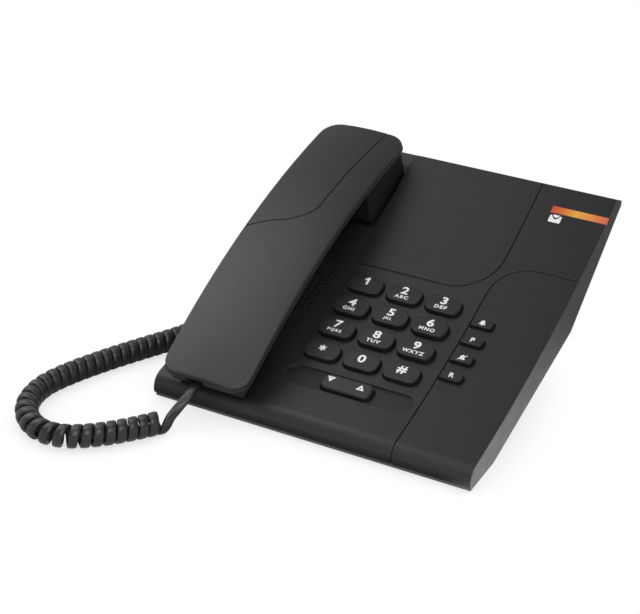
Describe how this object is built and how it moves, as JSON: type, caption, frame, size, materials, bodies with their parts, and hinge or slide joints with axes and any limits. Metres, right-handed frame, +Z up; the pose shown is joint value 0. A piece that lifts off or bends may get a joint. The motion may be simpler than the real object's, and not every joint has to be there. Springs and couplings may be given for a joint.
{
  "type": "corded desk telephone",
  "caption": "Black corded desk telephone: sloped base with push-button keypad, function keys, volume rocker, message lamp and grille, arched handset in a cradle, curly cord.",
  "frame": {"origin": "middle of the box of base and handset, at the table", "axes": "+Z up from the table, front edge of the base towards -Y, handset on the -X side"},
  "size_m": [0.2393, 0.261, 0.0927],
  "materials": {
    "housing": "fine matte",
    "handset": "fine matte",
    "keys": "satin, light print",
    "rubber": "matte",
    "silicone": "matte",
    "steel": "plain",
    "board": "solder mask",
    "inner_plastic": "plain",
    "pale_plastic": "plain",
    "capsule": "plain",
    "lens": "clear red and amber",
    "cord": "satin"
  },
  "bodies": {
    "base": {"base_top_housing": "housing", "base_bottom_cover": "housing", "rubber_feet": "rubber", "housing_screws": "steel", "main_pcb": "board", "pcb_screws": "steel", "keypad_membrane": "silicone", "ringer_speaker": "inner_plastic", "hook_switch": "inner_plastic", "hook_spring": "steel", "line_jack": "pale_plastic", "handset_jack": "inner_plastic", "message_lamp_lens": "lens", "lamp_led": "pale_plastic", "lamp_pcb": "board", "base_plug": "cord", "handset_cord": "cord"},
    "handset": {"handset_back_cover": "handset", "handset_front_cover": "housing", "earpiece_receiver": "inner_plastic", "microphone_capsule": "capsule", "handset_weight": "steel", "handset_socket": "inner_plastic", "handset_screws": "steel", "handset_plug": "cord"},
    "hook": {"hook_plunger": "housing"},
    "key_1_body": {"key_1": "keys"},
    "key_2_body": {"key_2": "keys"},
    "key_3_body": {"key_3": "keys"},
    "key_4_body": {"key_4": "keys"},
    "key_5_body": {"key_5": "keys"},
    "key_6_body": {"key_6": "keys"},
    "key_7_body": {"key_7": "keys"},
    "key_8_body": {"key_8": "keys"},
    "key_9_body": {"key_9": "keys"},
    "key_star_body": {"key_star": "keys"},
    "key_0_body": {"key_0": "keys"},
    "key_hash_body": {"key_hash": "keys"},
    "key_ringer_body": {"key_ringer": "keys"},
    "key_pause_body": {"key_pause": "keys"},
    "key_mute_body": {"key_mute": "keys"},
    "key_flash_body": {"key_flash": "keys"},
    "rocker": {"volume_rocker": "keys"}
  },
  "joints": [
    {"name": "handset_lift", "type": "slide", "parent": "base", "child": "handset", "axis": [0, -0.342, 0.9397], "range_m": [0, 0.08]},
    {"name": "hook_slide", "type": "slide", "parent": "base", "child": "hook", "axis": [0, -0.342, 0.9397], "range_m": [0, 0.004], "deforming": ["hook_spring"]},
    {"name": "key_1_press", "type": "slide", "parent": "base", "child": "key_1_body", "axis": [0, 0.3044, -0.9526], "range_m": [0, 0.0016], "stiffness_N_per_m": 300, "deforming": ["keypad_membrane"]},
    {"name": "key_2_press", "type": "slide", "parent": "base", "child": "key_2_body", "axis": [0, 0.3044, -0.9526], "range_m": [0, 0.0016], "stiffness_N_per_m": 300, "deforming": ["keypad_membrane"]},
    {"name": "key_3_press", "type": "slide", "parent": "base", "child": "key_3_body", "axis": [0, 0.3044, -0.9526], "range_m": [0, 0.0016], "stiffness_N_per_m": 300, "deforming": ["keypad_membrane"]},
    {"name": "key_4_press", "type": "slide", "parent": "base", "child": "key_4_body", "axis": [0, 0.3044, -0.9526], "range_m": [0, 0.0016], "stiffness_N_per_m": 300, "deforming": ["keypad_membrane"]},
    {"name": "key_5_press", "type": "slide", "parent": "base", "child": "key_5_body", "axis": [0, 0.3044, -0.9526], "range_m": [0, 0.0016], "stiffness_N_per_m": 300, "deforming": ["keypad_membrane"]},
    {"name": "key_6_press", "type": "slide", "parent": "base", "child": "key_6_body", "axis": [0, 0.3044, -0.9526], "range_m": [0, 0.0016], "stiffness_N_per_m": 300, "deforming": ["keypad_membrane"]},
    {"name": "key_7_press", "type": "slide", "parent": "base", "child": "key_7_body", "axis": [0, 0.3044, -0.9526], "range_m": [0, 0.0016], "stiffness_N_per_m": 300, "deforming": ["keypad_membrane"]},
    {"name": "key_8_press", "type": "slide", "parent": "base", "child": "key_8_body", "axis": [0, 0.3044, -0.9526], "range_m": [0, 0.0016], "stiffness_N_per_m": 300, "deforming": ["keypad_membrane"]},
    {"name": "key_9_press", "type": "slide", "parent": "base", "child": "key_9_body", "axis": [0, 0.3044, -0.9526], "range_m": [0, 0.0016], "stiffness_N_per_m": 300, "deforming": ["keypad_membrane"]},
    {"name": "key_star_press", "type": "slide", "parent": "base", "child": "key_star_body", "axis": [0, 0.3044, -0.9526], "range_m": [0, 0.0016], "stiffness_N_per_m": 300, "deforming": ["keypad_membrane"]},
    {"name": "key_0_press", "type": "slide", "parent": "base", "child": "key_0_body", "axis": [0, 0.3044, -0.9526], "range_m": [0, 0.0016], "stiffness_N_per_m": 300, "deforming": ["keypad_membrane"]},
    {"name": "key_hash_press", "type": "slide", "parent": "base", "child": "key_hash_body", "axis": [0, 0.3044, -0.9526], "range_m": [0, 0.0016], "stiffness_N_per_m": 300, "deforming": ["keypad_membrane"]},
    {"name": "key_ringer_press", "type": "slide", "parent": "base", "child": "key_ringer_body", "axis": [0, 0.3044, -0.9526], "range_m": [0, 0.0012], "stiffness_N_per_m": 300, "deforming": ["keypad_membrane"]},
    {"name": "key_pause_press", "type": "slide", "parent": "base", "child": "key_pause_body", "axis": [0, 0.3044, -0.9526], "range_m": [0, 0.0012], "stiffness_N_per_m": 300, "deforming": ["keypad_membrane"]},
    {"name": "key_mute_press", "type": "slide", "parent": "base", "child": "key_mute_body", "axis": [0, 0.3044, -0.9526], "range_m": [0, 0.0012], "stiffness_N_per_m": 300, "deforming": ["keypad_membrane"]},
    {"name": "key_flash_press", "type": "slide", "parent": "base", "child": "key_flash_body", "axis": [0, 0.3044, -0.9526], "range_m": [0, 0.0012], "stiffness_N_per_m": 300, "deforming": ["keypad_membrane"]},
    {"name": "volume_tilt", "type": "hinge", "parent": "base", "child": "rocker", "pos_m": [0.008, -0.06142, 0.0134], "axis": [0, 0.9526, 0.3044], "range_deg": [-3.5, 3.5], "stiffness_Nm_per_rad": 0.06, "deforming": ["keypad_membrane"]}
  ],
  "couplings": [
    {"joint": "hook_slide", "follows": "handset_lift", "ratio": 0.05}
  ]
}
